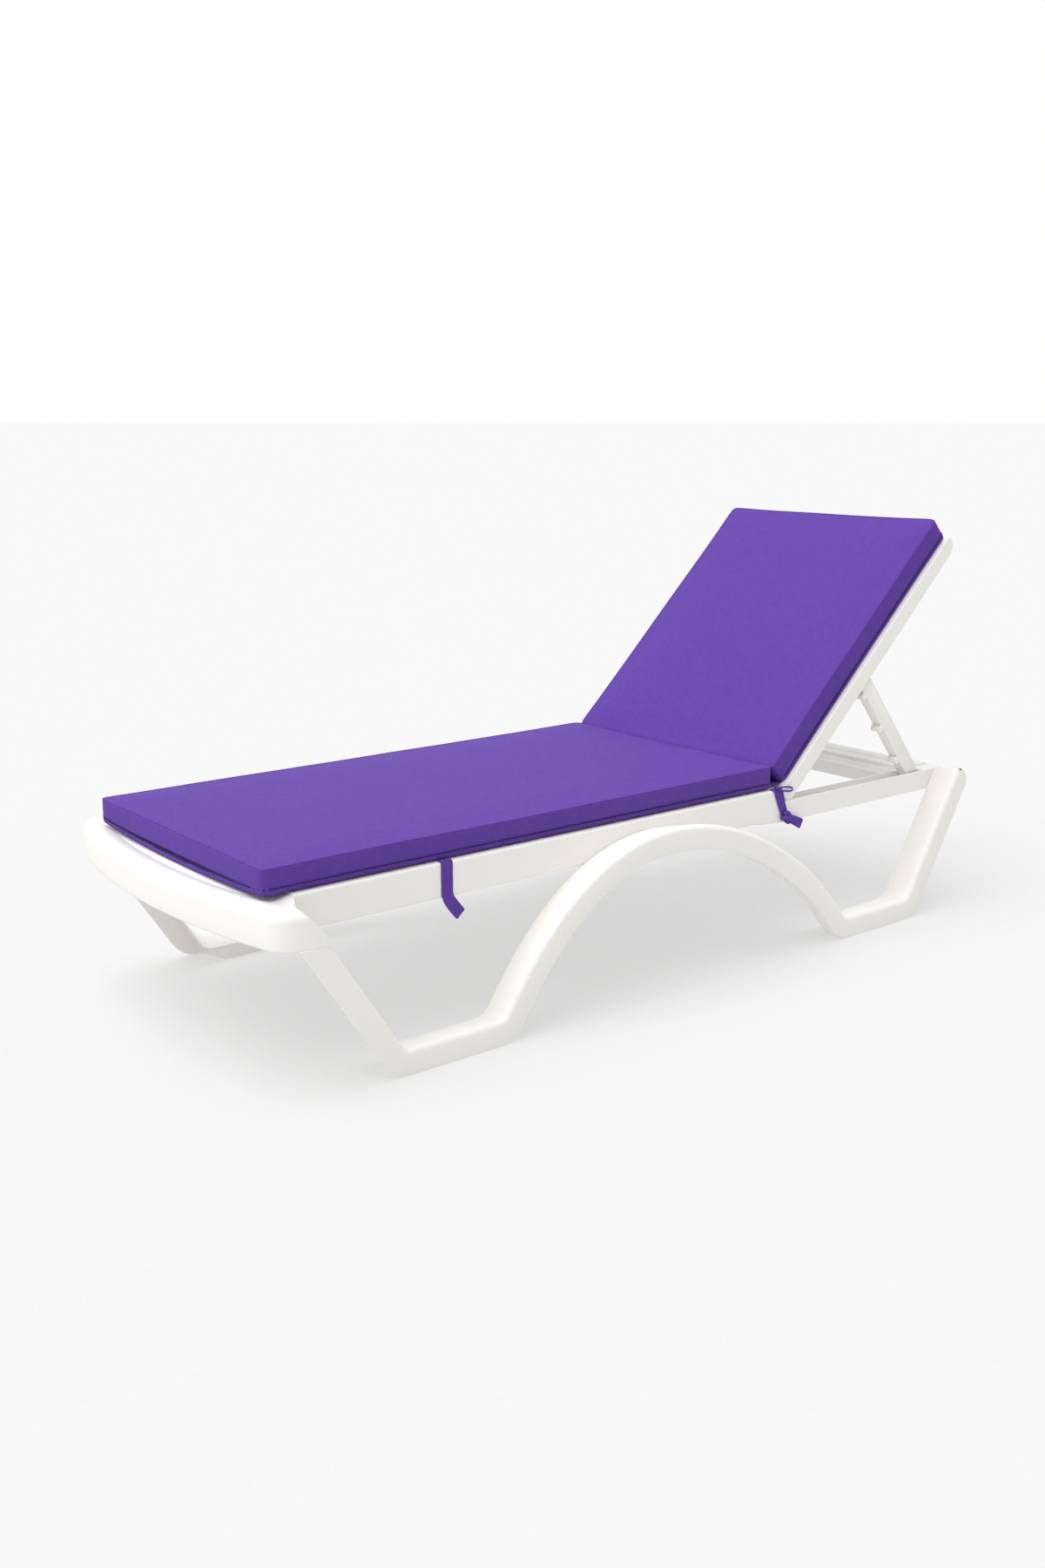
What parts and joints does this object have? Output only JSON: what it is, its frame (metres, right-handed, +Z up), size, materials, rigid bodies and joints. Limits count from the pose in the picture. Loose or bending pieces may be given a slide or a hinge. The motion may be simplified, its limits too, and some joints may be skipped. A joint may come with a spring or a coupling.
{
  "type": "reclining sun lounger",
  "caption": "Moulded white sun lounger on arched leg frames, with a reclining backrest propped by two pegged stays and a two-part tie-on cushion.",
  "frame": {"origin": "on the floor, under the middle of the bounding box at rest", "axes": "+X along the lounger towards the head end, +Y across it to the right of someone lying on it face up, feet at -X, looking from above; +Z up"},
  "size_m": [1.764, 0.76, 0.8414],
  "materials": {
    "white_resin": "satin moulded resin, off-white",
    "pin_steel": "plain steel pins, hidden",
    "purple_fabric": "matt woven polyester, purple"
  },
  "bodies": {
    "base": {"foot_end_panel": "white_resin", "front_cross_beam": "white_resin", "front_tie_left": "purple_fabric", "front_tie_right": "purple_fabric", "head_end_deck": "white_resin", "hinge_bracket_left": "white_resin", "hinge_bracket_right": "white_resin", "hinge_cross_beam": "white_resin", "hinge_pin_left": "pin_steel", "hinge_pin_right": "pin_steel", "hinge_tie_left": "purple_fabric", "hinge_tie_right": "purple_fabric", "leg_frame_left": "white_resin", "leg_frame_right": "white_resin", "middle_cross_beam": "white_resin", "rear_rail_left": "white_resin", "rear_rail_right": "white_resin", "seat_cushion": "purple_fabric", "seat_rail_left": "white_resin", "seat_rail_right": "white_resin", "seat_slat_01": "white_resin", "seat_slat_02": "white_resin", "seat_slat_03": "white_resin", "seat_slat_04": "white_resin", "seat_slat_05": "white_resin", "seat_slat_06": "white_resin", "seat_slat_07": "white_resin", "seat_slat_08": "white_resin", "seat_slat_09": "white_resin", "seat_slat_10": "white_resin"},
    "backrest": {"back_cushion": "purple_fabric", "backrest_bottom_rail": "white_resin", "backrest_slat_1": "white_resin", "backrest_slat_2": "white_resin", "backrest_slat_3": "white_resin", "backrest_slat_4": "white_resin", "backrest_slat_5": "white_resin", "backrest_slat_6": "white_resin", "backrest_stile_left": "white_resin", "backrest_stile_right": "white_resin", "backrest_top_rail": "white_resin", "stay_pin_left": "pin_steel", "stay_pin_right": "pin_steel"},
    "stay": {"stay_left": "white_resin", "stay_right": "white_resin"}
  },
  "joints": [
    {"name": "backrest_hinge", "type": "hinge", "parent": "base", "child": "backrest", "pos_m": [0.379, 0, 0.3155], "axis": [0, -1, 0], "range_deg": [-44.2, 0]},
    {"name": "stay_hinge", "type": "hinge", "parent": "backrest", "child": "stay", "pos_m": [0.60518, 0, 0.52011], "axis": [0, -1, 0], "range_deg": [-76.6, 0]}
  ],
  "couplings": [
    {"joint": "stay_hinge", "follows": "backrest_hinge", "ratio": 1.731}
  ]
}
